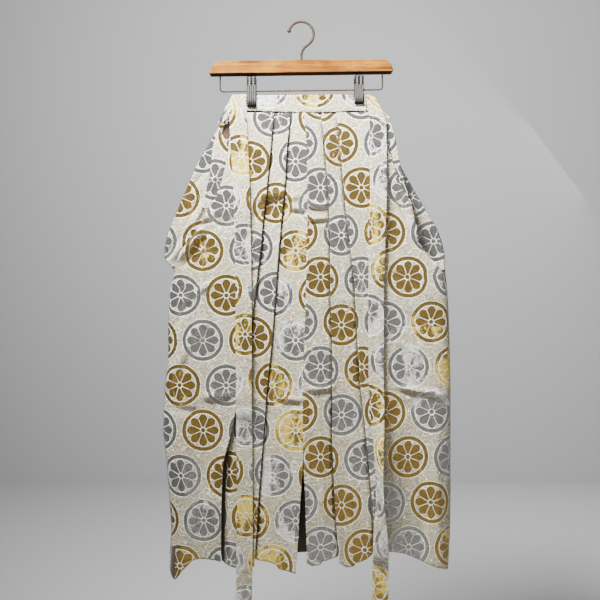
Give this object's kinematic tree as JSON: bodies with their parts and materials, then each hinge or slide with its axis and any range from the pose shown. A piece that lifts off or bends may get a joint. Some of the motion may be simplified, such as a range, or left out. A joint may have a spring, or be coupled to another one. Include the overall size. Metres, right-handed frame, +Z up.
{
  "type": "hakama trousers on a clip hanger",
  "caption": "Pleated, divided hakama trousers of ivory brocade with long waist straps, hung flat by spring clips from a wooden trouser hanger.",
  "frame": {"origin": "underside of the hanger hook's crown, where it rests on a rod or hook", "axes": "+X to the viewer's right, +Y back into the wall, +Z up"},
  "size_m": [0.5707, 0.0727, 1.2684],
  "materials": {
    "brocade": "ivory jacquard brocade with gold and silver metallic rosettes",
    "hanger_beech": "honey lacquered beech",
    "hanger_steel": "nickel plated steel",
    "clip_rubber": "black rubber boots on the clips' tips"
  },
  "bodies": {
    "root": {"back_board": "brocade", "back_gore": "brocade", "back_panel_left": "brocade", "back_panel_right": "brocade", "back_side_fold_left": "brocade", "back_side_fold_right": "brocade", "back_strap_left": "brocade", "back_strap_right": "brocade", "clip_left_back_lever": "hanger_steel", "clip_left_back_pad": "clip_rubber", "clip_left_front_lever": "hanger_steel", "clip_left_front_pad": "clip_rubber", "clip_left_spring": "hanger_steel", "clip_rail": "hanger_steel", "clip_right_back_lever": "hanger_steel", "clip_right_back_pad": "clip_rubber", "clip_right_front_lever": "hanger_steel", "clip_right_front_pad": "clip_rubber", "clip_right_spring": "hanger_steel", "crotch_gusset": "brocade", "front_gore": "brocade", "front_panel_left": "brocade", "front_panel_right": "brocade", "front_side_fold_left": "brocade", "front_side_fold_right": "brocade", "front_strap_left": "brocade", "front_strap_right": "brocade", "front_waistband": "brocade", "hanger_bar": "hanger_beech", "hanger_hook": "hanger_steel"}
  },
  "joints": []
}
